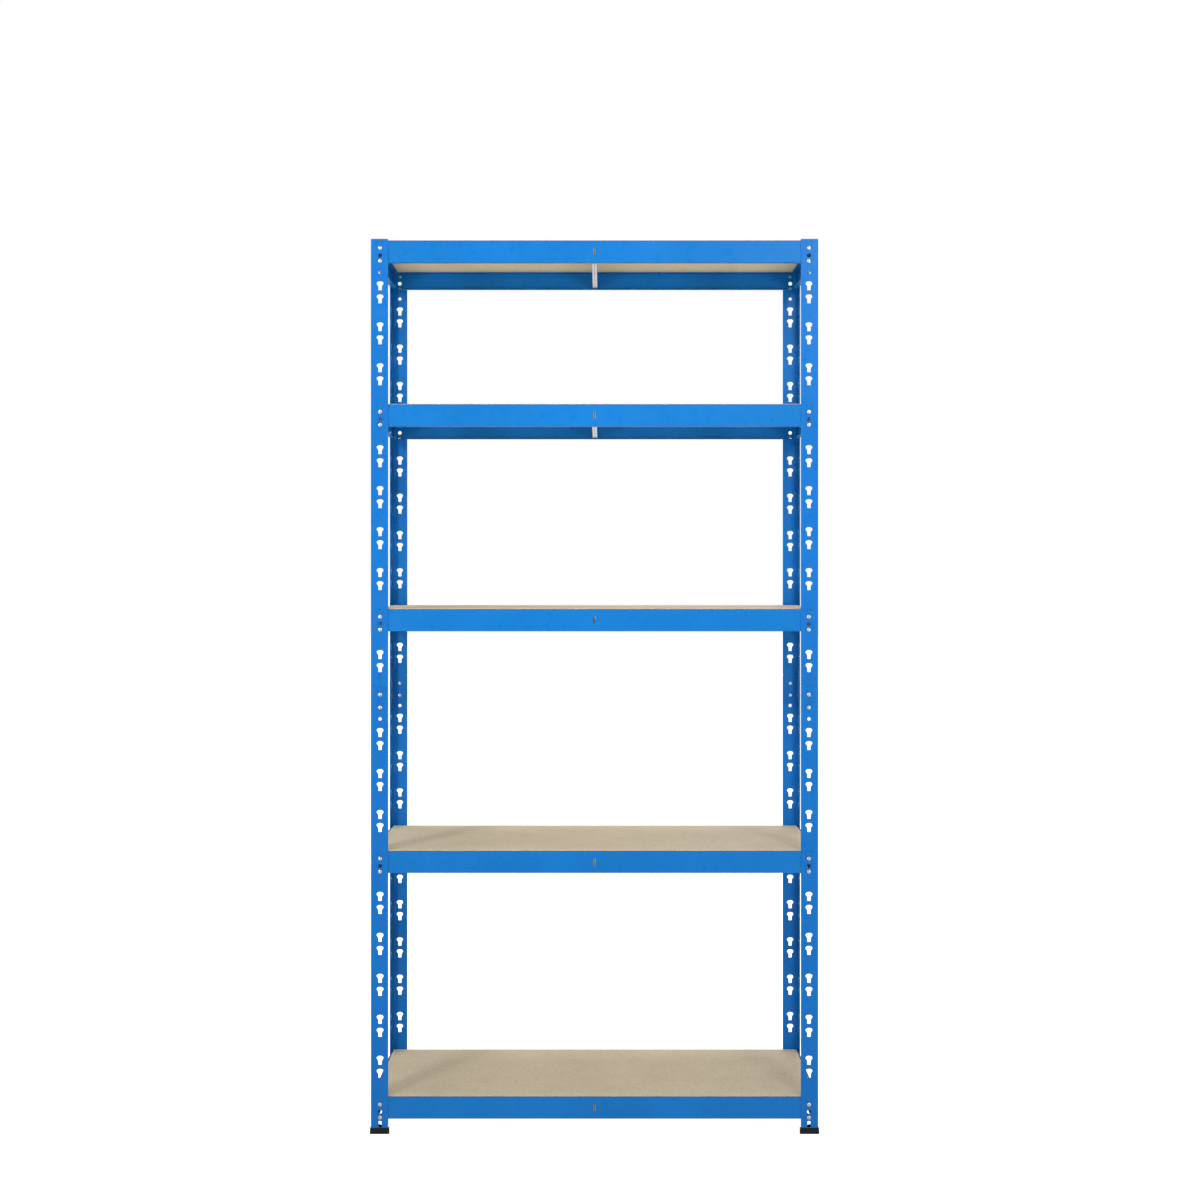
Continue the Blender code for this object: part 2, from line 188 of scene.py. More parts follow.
def bent_path(start, heading, moves):
    """Middle line of a bent sheet, as (u, v, heading) marks.

    A move is the length of a flat, or the (radius, turn) of a bend. Headings and turns are in degrees.
    """
    u, v = start
    angle = math.radians(heading)
    marks = [(u, v, angle)]
    for move in moves:
        if isinstance(move, tuple):
            radius, turn = move
            side = math.copysign(radius, turn)
            centre_u = u - side * math.sin(angle)
            centre_v = v + side * math.cos(angle)
            steps = max(2, round(abs(turn) / BEND_STEP))
            first = angle
            for step in range(1, steps + 1):
                angle = first + math.radians(turn) * step / steps
                marks.append((centre_u + side * math.sin(angle), centre_v - side * math.cos(angle), angle))
        else:
            marks.append((u + move * math.cos(angle), v + move * math.sin(angle), angle))
        u, v = marks[-1][:2]
    return marks


def rounded(corners, radii):
    """A closed outline with an arc at each corner."""
    points = []
    for index, corner in enumerate(corners):
        here = Vector(corner)
        before = (Vector(corners[index - 1]) - here).normalized()
        after = (Vector(corners[(index + 1) % len(corners)]) - here).normalized()
        half = before.angle(after) / 2
        centre = here + (before + after).normalized() * radii[index] / math.sin(half)
        start = here + before * radii[index] / math.tan(half) - centre
        end = here + after * radii[index] / math.tan(half) - centre
        for step in range(CORNER_STEPS + 1):
            spoke = start.lerp(end, step / CORNER_STEPS).normalized() * radii[index]
            points.append(tuple(centre + spoke))
    return points


def widened(outline, amount):
    """A counter-clockwise outline moved outwards."""
    moved = []
    for index, (u, v) in enumerate(outline):
        before, after = outline[index - 1], outline[(index + 1) % len(outline)]
        along = Vector((after[0] - before[0], after[1] - before[1])).normalized()
        moved.append((u + along.y * amount, v - along.x * amount))
    return moved


def keyhole_outline(centre_u, centre_v):
    """A wide cap for the rivet's head above a narrow stem for its neck."""
    top = centre_v + KEYHOLE_HEIGHT / 2
    right = [
        (KEYHOLE_STEM / 2, top - KEYHOLE_HEIGHT),
        (KEYHOLE_STEM / 2, top - KEYHOLE_THROAT),
        (KEYHOLE_CAP / 2, top - KEYHOLE_SHOULDER),
        (KEYHOLE_CROWN / 2, top),
    ]
    corners = right + [(-u, v) for u, v in reversed(right)]
    radii = KEYHOLE_RADII[::-1] + KEYHOLE_RADII
    return rounded([(centre_u + u, v) for u, v in corners], radii)


def round_outline(centre_u, centre_v, diameter):
    angles = [2 * math.pi * step / HOLE_STEPS for step in range(HOLE_STEPS)]
    radius = diameter / 2
    return [(centre_u + radius * math.cos(a), centre_v + radius * math.sin(a)) for a in angles]


def slot_outline(centre_u, centre_v, width, height):
    """A slot with corners rounded to a quarter of its narrower side."""
    u, v = width / 2, height / 2
    corners = [(centre_u + a * u, centre_v + b * v) for a, b in ((-1, -1), (1, -1), (1, 1), (-1, 1))]
    return rounded(corners, [min(width, height) / 4] * 4)


def bridged(mesh, rings):
    """Faces between each closed ring of vertices and the next."""
    faces = []
    for near, far in zip(rings, rings[1:]):
        for index, corner in enumerate(near):
            after = (index + 1) % len(near)
            faces.append(mesh.faces.new((corner, near[after], far[after], far[index])))
    return faces


class Sheet:
    """A sheet bent along its length, with holes in its flats and ends that may be cut back.

    Its section lies in u and v, and its length runs along t. The left side of the path is the outer face.
    """

    def __init__(self, marks, wall, locate):
        """The marks of the section, the wall's thickness, and what turns (u, v, t) into (x, y, z)."""
        self.mesh = bmesh.new()
        self.edge = self.mesh.faces.layers.float.new("edge")
        self.marks = marks
        self.half = wall / 2
        self.locate = locate
        self.vertices = {}

    def section_point(self, key):
        """Where a corner of the section lies.

        A key is ("left" or "right", mark), or ("lead" or "tail", 1 or -1) for an eased edge at either end.
        """
        part, index = key
        if part in ("lead", "tail"):
            u, v, angle = self.marks[0 if part == "lead" else -1]
            offset = index * (self.half - EDGE_EASE)
            pull = 0
        else:
            u, v, angle = self.marks[index]
            offset = self.half if part == "left" else -self.half
            pull = EDGE_EASE * ((index == 0) - (index == len(self.marks) - 1))
        return (u + pull * math.cos(angle) - offset * math.sin(angle),
                v + pull * math.sin(angle) + offset * math.cos(angle))

    def vertex(self, key, along):
        if (key, along) not in self.vertices:
            self.vertices[key, along] = self.mesh.verts.new(self.locate(*self.section_point(key), along))
        return self.vertices[key, along]

    def loop(self, first, last):
        """Keys of the closed section between two marks."""
        keys = [("left", index) for index in range(first, last + 1)]
        if last == len(self.marks) - 1:
            keys += [("tail", 1), ("tail", -1)]
        keys += [("right", index) for index in range(last, first - 1, -1)]
        if first == 0:
            keys += [("lead", -1), ("lead", 1)]
        return keys

    def close(self, first, last, along):
        """Flat faces over the section between two marks."""
        patches = []
        for index in range(first, last):
            patches.append((("left", index), ("left", index + 1), ("right", index + 1), ("right", index)))
        if last == len(self.marks) - 1 and last > first:
            patches.append((("left", last), ("tail", 1), ("tail", -1), ("right", last)))
        if first == 0 and last > first:
            patches.append((("right", 0), ("lead", -1), ("lead", 1), ("left", 0)))
        for keys in patches:
            self.mesh.faces.new([self.vertex(key, along) for key in keys])[self.edge] = 1

    def hole_ring(self, strip, outline, offset):
        """Vertices round a hole in the flat after mark number strip, at a distance from the wall's middle."""
        u, v, angle = self.marks[strip]
        ring = []
        for across, along in outline:
            point = (u + across * math.cos(angle) - offset * math.sin(angle),
                     v + across * math.sin(angle) + offset * math.cos(angle))
            ring.append(self.mesh.verts.new(self.locate(*point, along)))
        return ring

    def punch(self, strip, cell, outline, rows):
        """Faces round one hole, from the edges of its cell of the flat, and the wall of the hole."""
        low, high = cell
        middle = [row for row in rows if low < row < high]
        start, end = (Vector(self.marks[index][:2]) for index in (strip, strip + 1))
        width = (end - start).length
        corners = [(0, low), (width, low), (width, high), (0, high)]
        rims = {}
        for part, offset, roll in (("left", self.half, PUNCH_ROLL), ("right", -self.half, PUNCH_BREAK)):
            wide = widened(outline, roll)
            rims[part] = self.hole_ring(strip, wide, offset)
            spokes = [min(range(len(wide)), key=lambda i: math.dist(wide[i], corner)) for corner in corners]
            sides = (
                [(strip, low), (strip + 1, low)],
                [(strip + 1, row) for row in [low, *middle, high]],
                [(strip + 1, high), (strip, high)],
                [(strip, row) for row in [high, *reversed(middle), low]],
            )
            for number, side in enumerate(sides):
                begin, finish = spokes[number], spokes[(number + 1) % 4]
                count = (finish - begin) % len(wide)
                rim = [rims[part][(begin + step) % len(wide)] for step in range(count, -1, -1)]
                border = [self.vertex((part, index), row) for index, row in side]
                self.mesh.faces.new(border + rim)
        inner = (self.hole_ring(strip, outline, self.half - PUNCH_ROLL),
                 self.hole_ring(strip, outline, PUNCH_BREAK - self.half))
        for wall in bridged(self.mesh, (rims["left"], *inner, rims["right"])):
            wall[self.edge] = 1

    def build(self, name, regions, holes=()):
        """The mesh over (start, end, first mark, last mark) regions, with (strip, cell, outline) holes."""
        rows = {along for region in regions for along in region[:2]}
        rows |= {along for _, cell, _ in holes for along in cell}
        rows = sorted(rows)
        for start, end, first, last in regions:
            keys = self.loop(first, last)
            inside = [row for row in rows if start <= row <= end]
            for low, high in zip(inside, inside[1:]):
                punched = {strip for strip, cell, _ in holes if cell[0] <= low and high <= cell[1]}
                for key, after in zip(keys, keys[1:] + keys[:1]):
                    same_part = key[0] == after[0]
                    if same_part and key[0] in ("left", "right") and min(key[1], after[1]) in punched:
                        continue
                    wall = self.mesh.faces.new((self.vertex(key, low), self.vertex(after, low),
                                                self.vertex(after, high), self.vertex(key, high)))
                    wall[self.edge] = not (same_part and key[0] in ("left", "right"))
        for strip, cell, outline in holes:
            self.punch(strip, cell, outline, rows)
        self.close(*regions[0][2:], regions[0][0])
        self.close(*regions[-1][2:], regions[-1][1])
        for before, after in zip(regions, regions[1:]):
            firsts = sorted((before[2], after[2]))
            lasts = sorted((before[3], after[3]))
            self.close(*firsts, after[0])
            self.close(*lasts, after[0])
        return finished(name, self.mesh)


def finished(name, mesh):
    """A mesh with its faces out, smooth over bends and rims, and sharp at square corners."""
    bmesh.ops.recalc_face_normals(mesh, faces=mesh.faces)
    made = bpy.data.meshes.new(name)
    mesh.to_mesh(made)
    mesh.free()
    made.shade_smooth()
    made.set_sharp_from_angle(angle=math.radians(SMOOTH_ANGLE))
    return made


def upright_mesh(flange, length):
    """Half an upright: outer corner on the Z axis, flanges along +X and +Y."""
    half = UPRIGHT_WALL / 2
    flat = flange - UPRIGHT_BEND
    marks = bent_path((flange, half), 180, [flat, (UPRIGHT_BEND - half, -90), flat])
    last_strip = len(marks) - 2
    hole_lines = {0: flange - KEYHOLE_LINE, last_strip: KEYHOLE_LINE - UPRIGHT_BEND}
    pairs = 1 + math.floor((length - KEYHOLE_TOP - KEYHOLE_SPACING / 2 - KEYHOLE_TAIL) / KEYHOLE_PITCH)
    heights = [length - KEYHOLE_TOP - pair * KEYHOLE_PITCH - drop
               for pair in range(pairs) for drop in (0, KEYHOLE_SPACING)]
    pin = length - PIN_HOLE_DROP
    holes = []
    for strip, across in hole_lines.items():
        for height in heights:
            reach = KEYHOLE_HEIGHT / 2 + CELL_MARGIN
            holes.append((strip, (height - reach, height + reach), keyhole_outline(across, height)))
        reach = PIN_HOLE_DIAMETER / 2 + CELL_MARGIN
        holes.append((strip, (pin - reach, pin + reach), round_outline(across, pin, PIN_HOLE_DIAMETER)))
        reach = TOE_SLOT_HEIGHT / 2 + CELL_MARGIN
        slot = slot_outline(across, TOE_SLOT_RISE, TOE_SLOT_WIDTH, TOE_SLOT_HEIGHT)
        holes.append((strip, (TOE_SLOT_RISE - reach, TOE_SLOT_RISE + reach), slot))
    sheet = Sheet(marks, UPRIGHT_WALL, lambda u, v, t: (u, v, t))
    return sheet.build("upright", [(0, length, 0, len(marks) - 1)], holes)


def beam_mesh(name, span, slotted):
    """A step beam: outer face on y = 0, inside towards +Y, middle on the Z axis."""
    half = BEAM_WALL / 2
    top = BEAM_HEIGHT / 2
    ledge = top - BEAM_STEP
    hem = (BEAM_WALL + HEM_GAP) / 2
    fold_centre = top - half - hem
    ledge_bend = half + LEDGE_FILLET
    fold_u = half + 2 * hem
    moves = [
        BEAM_LIP - BEAM_HEM,
        BEAM_HEM - BEAM_BEND,
        (BEAM_BEND - half, -90),
        fold_centre + top - BEAM_BEND,
        (hem, -180),
        fold_centre - ledge - LEDGE_FILLET,
        (ledge_bend, 90),
        BEAM_LEDGE - fold_u - ledge_bend,
    ]
    marks = bent_path((BEAM_LIP, half - top), 180, moves)
    last = len(marks) - 1
    headings = [round(math.degrees(angle)) for _, _, angle in marks]
    web = next(i for i in range(last) if headings[i] == headings[i + 1] == 90)
    hem_end = next(i for i in range(web, last) if headings[i] == headings[i + 1] == -90) + 1
    end = span / 2 - BEAM_END_INSET
    ledge_end = span / 2 - LEDGE_END_INSET
    regions = [
        (-end, -ledge_end, 1, hem_end),
        (-ledge_end, ledge_end, 0, last),
        (ledge_end, end, 1, hem_end),
    ]
    web_start = BEAM_BEND - top
    lock_height = LOCK_HOLE_RISE - KEYHOLE_SPACING / 2 - web_start
    reach = LOCK_HOLE_DIAMETER / 2 + CELL_MARGIN
    holes = []
    for side in (-1, 1):
        place = side * (span / 2 - KEYHOLE_LINE)
        outline = round_outline(lock_height, place, LOCK_HOLE_DIAMETER)
        holes.append((web, (place - reach, place + reach), outline))
    if slotted:
        reach = TIE_SLOT_WIDTH / 2 + CELL_MARGIN
        holes.append((web, (-reach, reach), slot_outline(-web_start, 0, TIE_SLOT_HEIGHT, TIE_SLOT_WIDTH)))
    sheet = Sheet(marks, BEAM_WALL, lambda u, v, t: (t, u, v))
    return sheet.build(name, regions, holes)


def splice_mesh(reach, low, high):
    """An angle that lies inside the two halves of an upright, whose outer corner is on the Z axis."""
    half = SPLICE_WALL / 2
    middle = SPLICE_OUTER + half
    flat = reach - SPLICE_OUTER - SPLICE_BEND
    marks = bent_path((reach, middle), 180, [flat, (SPLICE_BEND - half, -90), flat])
    sheet = Sheet(marks, SPLICE_WALL, lambda u, v, t: (u, v, t))
    return sheet.build("splice", [(low, high, 0, len(marks) - 1)])


def tie_leaf_mesh(width, low, high, reach, side):
    """One of the two leaves of a tie bar: foot, bend and web, back to back with the other leaf."""
    half = TIE_LEAF / 2
    web = -(TIE_LEAF + TIE_GAP) / 2
    bend_top = low + half + TIE_FOLD
    moves = [
        width / 2 + web - TIE_FOLD,
        (TIE_FOLD, 90),
        -TIE_TAB / 2 - bend_top,
        TIE_TAB,
        high - TIE_NOTCH - TIE_TAB / 2,
        TIE_NOTCH,
    ]
    marks = bent_path((-width / 2, low + half), 0, moves)
    last = len(marks) - 1
    shoulder = reach - TIE_TAB_REACH
    notch = reach - TIE_NOTCH_REACH
    regions = [
        (-reach, -shoulder, last - 3, last - 2),
        (-shoulder, -notch, 0, last - 1),
        (-notch, notch, 0, last),
        (notch, shoulder, 0, last - 1),
        (shoulder, reach, last - 3, last - 2),
    ]
    sheet = Sheet(marks, TIE_LEAF, lambda u, v, t: (side * u, t, v))
    return sheet.build("tie_leaf", regions)


# ---------------------------------------------------------------- turned, sawn and moulded parts

def add_turned(mesh, profile, place):
    """Turn (radius, height) points about a frame's Z axis. The first and the last point are on the axis."""
    rings = []
    for radius, height in profile[1:-1]:
        angles = [2 * math.pi * step / RIVET_SIDES for step in range(RIVET_SIDES)]
        rings.append([mesh.verts.new(place @ Vector((radius * math.cos(a), radius * math.sin(a), height)))
                      for a in angles])
    bridged(mesh, rings)
    for ring, height in ((rings[0], profile[0][1]), (rings[-1], profile[-1][1])):
        pole = mesh.verts.new(place @ Vector((0, 0, height)))
        for index in range(RIVET_SIDES):
            mesh.faces.new((pole, ring[index], ring[(index + 1) % RIVET_SIDES]))


def rivet_profile(underside, wall):
    """From the formed head inside, along the neck, to the middle of the domed head outside."""
    neck, head, upset = RIVET_NECK / 2, RIVET_HEAD / 2, RIVET_UPSET / 2
    rise = RIVET_TOP - RIVET_UNDERSIDE
    inner = -wall - rise / 3
    points = [
        (0, inner - rise / 6),
        (upset / 2, inner - rise / 8),
        (upset, inner + rise / 12),
        (upset, -wall),
        (neck, -wall),
        (neck, underside),
        (head * RIVET_SEAT_SHARE, underside),
        (head, underside + rise * RIVET_EASE_SHARE),
    ]
    for angle in range(0, 90, RIVET_DOME_STEP):
        turn = math.radians(angle)
        height = RIVET_RIM_SHARE + (1 - RIVET_RIM_SHARE) * math.sin(turn)
        points.append((head * math.cos(turn), underside + rise * height))
    return points + [(0, underside + rise)]


def rivets_mesh(name, places, underside, wall):
    mesh = bmesh.new()
    for place in places:
        add_turned(mesh, rivet_profile(underside, wall), place)
    return finished(name, mesh)


def facing(direction, point):
    """A frame at a point whose Z axis is along a direction."""
    return Matrix.Translation(point) @ Vector(direction).to_track_quat("Z", "Y").to_matrix().to_4x4()


def pulled_in(point, reach, amount):
    """A point on a rectangle's edge, moved in from the sides it lies on."""
    return tuple(math.copysign(min(abs(value), limit - amount), value)
                 for value, limit in zip(point, reach))


def board_mesh(half_x, half_y, thickness):
    """A sawn board, its edges eased and slightly chipped."""
    corners = [(-half_x, -half_y), (half_x, -half_y), (half_x, half_y), (-half_x, half_y)]
    outline = []
    for index, point in enumerate(rounded(corners, [BOARD_CORNER] * 4)):
        outline.append(point)
        if index % (CORNER_STEPS + 1) == CORNER_STEPS:
            side = index // (CORNER_STEPS + 1)
            start, end = Vector(corners[side]), Vector(corners[(side + 1) % 4])
            along = (end - start).normalized()
            start, end = start + along * BOARD_CORNER, end - along * BOARD_CORNER
            count = round((end - start).length / BOARD_STEP)
            outline += [tuple(start.lerp(end, step / count)) for step in range(1, count)]
    levels = (
        (BOARD_ARRIS, 0),
        (0, BOARD_ARRIS),
        (0, thickness - BOARD_ARRIS),
        (BOARD_ARRIS, thickness),
    )
    mesh = bmesh.new()
    edge = mesh.faces.layers.float.new("edge")
    rings = []
    for level, (inset, height) in enumerate(levels):
        ring = []
        for point in outline:
            chip = max(0, noise.noise(Vector((*point, level)) * CHIP_SCALE)) * BOARD_CHIP
            x, y = pulled_in(point, (half_x, half_y), inset + chip)
            ring.append(mesh.verts.new((x, y, height)))
        rings.append(ring)
    for wall in bridged(mesh, rings):
        wall[edge] = 1
    mesh.faces.new(rings[0])
    mesh.faces.new(rings[-1])
    return finished("board", mesh)


def foot_outline(inset, low, high):
    """A square with one corner cut off, between low and high on both axes."""
    toe = low + FOOT_TOE
    low += inset
    high -= inset
    corners = [(low, low), (high, low), (high, toe), (toe, high), (low, high)]
    return rounded(corners, [FOOT_RADIUS] * len(corners))


def foot_mesh(span, height):
    """A moulded cap with an L-shaped socket, a cored web and a recessed sole, its corner on the Z axis."""
    low = -FOOT_WALL
    high = low + span
    socket_low = -SOCKET_CLEARANCE
    socket_high = UPRIGHT_WALL + SOCKET_CLEARANCE
    reach = high - FOOT_WALL + SOCKET_CLEARANCE
    cap = bmesh.new()
    levels = (
        (FOOT_EASE, 0),
        (0, FOOT_EASE),
        (0, FOOT_BAND),
        (FOOT_DRAFT, height - FOOT_EASE),
        (FOOT_DRAFT + FOOT_EASE, height),
    )
    rings = []
    for inset, level in levels:
        rings.append([cap.verts.new((*point, level)) for point in foot_outline(inset, low, high)])
    bridged(cap, rings)
    sole = cap.faces.new(rings[0])
    section = [
        (socket_low, socket_low),
        (reach, socket_low),
        (reach, socket_high),
        (socket_high, socket_high),
        (socket_high, reach),
        (socket_low, reach),
    ]
    mouth = [cap.verts.new((x, y, height)) for x, y in section]
    floor = [cap.verts.new((x, y, FOOT_BASE)) for x, y in section]
    bridged(cap, (mouth, floor))
    cap.faces.new(floor)
    top = rings[-1]
    arc = CORNER_STEPS + 1
    middle = CORNER_STEPS // 2

    def top_face(first, last, inner):
        """A face of the rim, between two places on its outer edge and corners of the socket."""
        count = (last - first) % len(top)
        return cap.faces.new([top[(first + step) % len(top)] for step in range(count + 1)] + inner)

    corner_marks = [side * arc + middle for side in range(5)]
    top_face(corner_marks[0], corner_marks[1], [mouth[1], mouth[0]])
    top_face(corner_marks[1], corner_marks[2], [mouth[2], mouth[1]])
    web = top_face(corner_marks[2], corner_marks[3], [mouth[4], mouth[3], mouth[2]])
    top_face(corner_marks[3], corner_marks[4], [mouth[5], mouth[4]])
    top_face(corner_marks[4], corner_marks[0], [mouth[0], mouth[5]])
    bmesh.ops.recalc_face_normals(cap, faces=cap.faces)
    bmesh.ops.inset_individual(cap, faces=[web], thickness=FOOT_CORE_WALL)
    bmesh.ops.inset_individual(cap, faces=[web], thickness=FOOT_DRAFT, depth=-FOOT_CORE_DEPTH)
    bmesh.ops.inset_individual(cap, faces=[sole], thickness=FOOT_WALL)
    bmesh.ops.inset_individual(cap, faces=[sole], thickness=FOOT_DRAFT, depth=-FOOT_SOLE_STEP)
    return finished("foot", cap)


# ---------------------------------------------------------------- materials

def add_node(tree, kind, inputs=None, **settings):
    """Add a node. Inputs are values, or the output sockets that feed them."""
    made = tree.nodes.new(kind)
    for name, value in settings.items():
        setattr(made, name, value)
    for name, value in (inputs or {}).items():
        if isinstance(value, bpy.types.NodeSocket):
            tree.links.new(value, made.inputs[name])
        else:
            made.inputs[name].default_value = value
    return made


def new_material(name):
    """A material, its tree, its shader, and object coordinates that differ from copy to copy."""
    material = bpy.data.materials.new(name)
    material.use_nodes = True
    tree = material.node_tree
    coordinates = add_node(tree, "ShaderNodeTexCoord").outputs["Object"]
    chance = add_node(tree, "ShaderNodeObjectInfo").outputs["Random"]
    shift = add_node(tree, "ShaderNodeVectorMath", {0: chance, 1: (3.0, 5.0, 7.0)}, operation="MULTIPLY")
    place = add_node(tree, "ShaderNodeVectorMath", {0: coordinates, 1: shift.outputs[0]}, operation="ADD")
    return material, tree, tree.nodes["Principled BSDF"], place.outputs[0]


def noise_value(tree, place, scale, detail=3.0, roughness=0.5, distortion=0.0):
    inputs = {
        "Vector": place,
        "Scale": scale,
        "Detail": detail,
        "Roughness": roughness,
        "Distortion": distortion,
    }
    return add_node(tree, "ShaderNodeTexNoise", inputs).outputs["Fac"]


def cells(tree, place, scale):
    inputs = {"Vector": place, "Scale": scale, "Randomness": 1.0}
    return add_node(tree, "ShaderNodeTexVoronoi", inputs)


def remapped(tree, value, low, high, new_low=0.0, new_high=1.0):
    inputs = {"Value": value, "From Min": low, "From Max": high, "To Min": new_low, "To Max": new_high}
    return add_node(tree, "ShaderNodeMapRange", inputs, clamp=True).outputs["Result"]


def multiplied(tree, first, second):
    return add_node(tree, "ShaderNodeMath", {0: first, 1: second}, operation="MULTIPLY").outputs[0]


def mixed(tree, factor, first, second):
    """A colour between two colours."""
    made = add_node(tree, "ShaderNodeMix", data_type="RGBA")
    for index, value in ((0, factor), (6, first), (7, second)):
        if isinstance(value, bpy.types.NodeSocket):
            tree.links.new(value, made.inputs[index])
        else:
            made.inputs[index].default_value = value
    return made.outputs[2]


def bumped(tree, height, strength, distance, normal=None):
    inputs = {"Height": height, "Strength": strength, "Distance": distance}
    if normal is not None:
        inputs["Normal"] = normal
    return add_node(tree, "ShaderNodeBump", inputs).outputs["Normal"]


def colour(red, green, blue):
    return (red, green, blue, 1.0)


def powder_coat(name, deep, bright, worn):
    """Glossy powder coat: orange peel, slightly uneven colour, and thinner paint on cut edges."""
    material, tree, shader, place = new_material(name)
    cloud = remapped(tree, noise_value(tree, place, 7.0, 4.0), 0.3, 0.7)
    base = mixed(tree, cloud, colour(*deep), colour(*bright))
    speckle = remapped(tree, noise_value(tree, place, 2600.0, 1.0), 0.62, 0.74, 0.0, 0.25)
    base = mixed(tree, speckle, base, colour(*(value * 0.72 for value in deep)))
    edge = add_node(tree, "ShaderNodeAttribute", attribute_name="edge").outputs["Fac"]
    patches = remapped(tree, noise_value(tree, place, 120.0, 5.0, 0.65), 0.45, 0.62)
    base = mixed(tree, multiplied(tree, edge, patches), base, colour(*worn))
    scuffs = remapped(tree, noise_value(tree, place, 38.0, 6.0, 0.7, 1.5), 0.68, 0.76, 0.0, 0.08)
    base = mixed(tree, scuffs, base, colour(*worn))
    tree.links.new(base, shader.inputs["Base Color"])
    gloss = remapped(tree, noise_value(tree, place, 45.0, 5.0, 0.6), 0.3, 0.7, 0.24, 0.40)
    tree.links.new(gloss, shader.inputs["Roughness"])
    peel = noise_value(tree, place, 420.0, 2.0)
    grit = noise_value(tree, place, 1900.0, 2.0)
    normal = bumped(tree, peel, 0.35, 0.0002)
    tree.links.new(bumped(tree, grit, 0.15, 0.0001, normal), shader.inputs["Normal"])
    shader.inputs["Specular IOR Level"].default_value = 0.16
    shader.inputs["Coat Weight"].default_value = 0.04
    shader.inputs["Coat Roughness"].default_value = 0.15
    return material


def zinc_finish(name, pale):
    """Zinc: spangle, rolling marks, dull spots, and near-black cut edges, partly bare sheared steel and
    partly a painted dark reflection.
    """
    material, tree, shader, place = new_material(name)
    spangle = remapped(tree, cells(tree, place, 260.0).outputs["Distance"], 0.0, 0.7)
    base = mixed(tree, spangle, colour(*pale), colour(*(0.85 * value for value in pale)))
    dull = remapped(tree, noise_value(tree, place, 30.0, 6.0, 0.65), 0.5, 0.75, 0.0, 0.45)
    base = mixed(tree, dull, base, colour(*(0.62 * value for value in pale)))
    edge = add_node(tree, "ShaderNodeAttribute", attribute_name="edge").outputs["Fac"]
    # Cut edges darkened: partly bare sheared steel, partly a painted dark reflection
    sheared_edge_and_painted_reflection = multiplied(tree, edge, remapped(tree, dull, 0.0, 0.45, 0.85, 1.0))
    base = mixed(tree, sheared_edge_and_painted_reflection, base, colour(*SHEARED_EDGE_AND_PAINTED_DARK_REFLECTION))
    tree.links.new(base, shader.inputs["Base Color"])
    stretched = add_node(tree, "ShaderNodeMapping", {"Vector": place, "Scale": (40.0, 1.5, 40.0)})
    marks = noise_value(tree, stretched.outputs[0], 28.0, 4.0)
    roughness = remapped(tree, marks, 0.3, 0.7, 0.26, 0.44)
    tree.links.new(roughness, shader.inputs["Roughness"])
    normal = bumped(tree, marks, 0.12, 0.0001)
    tree.links.new(bumped(tree, spangle, 0.08, 0.0001, normal), shader.inputs["Normal"])
    shader.inputs["Metallic"].default_value = 0.9
    return material


def fibreboard(name):
    """Raw pressed board: pale flakes and fibres over tan, darker pores, and a rougher sawn edge in orange,
    partly the raw fibre's own colour and partly a painted highlight.
    """
    material, tree, shader, place = new_material(name)
    cloud = remapped(tree, noise_value(tree, place, 9.0, 5.0, 0.6, 0.4), 0.3, 0.7)
    base = mixed(tree, cloud, colour(0.670, 0.560, 0.385), colour(0.740, 0.630, 0.450))
    flat = add_node(tree, "ShaderNodeMapping", {"Vector": place, "Scale": (1.0, 2.2, 1.0)})
    chips = cells(tree, flat.outputs[0], 210.0).outputs["Color"]
    tone = add_node(tree, "ShaderNodeSeparateColor", {"Color": chips}).outputs[0]
    base = mixed(tree, remapped(tree, tone, 0.55, 1.0, 0.0, 0.30), base, colour(0.82, 0.73, 0.55))
    base = mixed(tree, remapped(tree, tone, 0.0, 0.35, 0.30, 0.0), base, colour(0.40, 0.31, 0.19))
    fine = noise_value(tree, place, 900.0, 4.0, 0.7)
    base = mixed(tree, remapped(tree, fine, 0.55, 0.8, 0.0, 0.45), base, colour(0.36, 0.28, 0.17))
    edge = add_node(tree, "ShaderNodeAttribute", attribute_name="edge").outputs["Fac"]
    core = noise_value(tree, place, 350.0, 5.0, 0.75)
    # The sawn edges turn a lighter orange: partly the raw fibre's own colour, partly a painted highlight
    raw_edge_and_painted_highlight = mixed(tree, remapped(tree, core, 0.35, 0.65), colour(0.62, 0.40, 0.17), colour(0.95, 0.70, 0.36))
    base = mixed(tree, multiplied(tree, edge, remapped(tree, core, 0.0, 1.0, 0.7, 1.0)), base, raw_edge_and_painted_highlight)
    tree.links.new(base, shader.inputs["Base Color"])
    roughness = remapped(tree, fine, 0.3, 0.7, 0.62, 0.82)
    tree.links.new(roughness, shader.inputs["Roughness"])
    normal = bumped(tree, fine, 0.35, 0.0002)
    tree.links.new(bumped(tree, tone, 0.12, 0.0001, normal), shader.inputs["Normal"])
    shader.inputs["Specular IOR Level"].default_value = 0.25
    return material


def moulded_plastic(name):
    """Black polypropylene: spark-eroded grain, flow marks and dusty patches."""
    material, tree, shader, place = new_material(name)
    cloud = remapped(tree, noise_value(tree, place, 60.0, 4.0), 0.35, 0.7)
    base = mixed(tree, cloud, colour(0.003, 0.003, 0.003), colour(0.007, 0.007, 0.008))
    dust = remapped(tree, noise_value(tree, place, 240.0, 6.0, 0.7), 0.60, 0.78, 0.0, 0.15)
    base = mixed(tree, dust, base, colour(0.05, 0.048, 0.045))
    tree.links.new(base, shader.inputs["Base Color"])
    roughness = remapped(tree, noise_value(tree, place, 90.0, 4.0), 0.3, 0.7, 0.42, 0.62)
    tree.links.new(roughness, shader.inputs["Roughness"])
    grain = cells(tree, place, 1500.0).outputs["Distance"]
    tree.links.new(bumped(tree, grain, 0.3, 0.0001), shader.inputs["Normal"])
    shader.inputs["Specular IOR Level"].default_value = 0.2
    return material


# ---------------------------------------------------------------- assembly

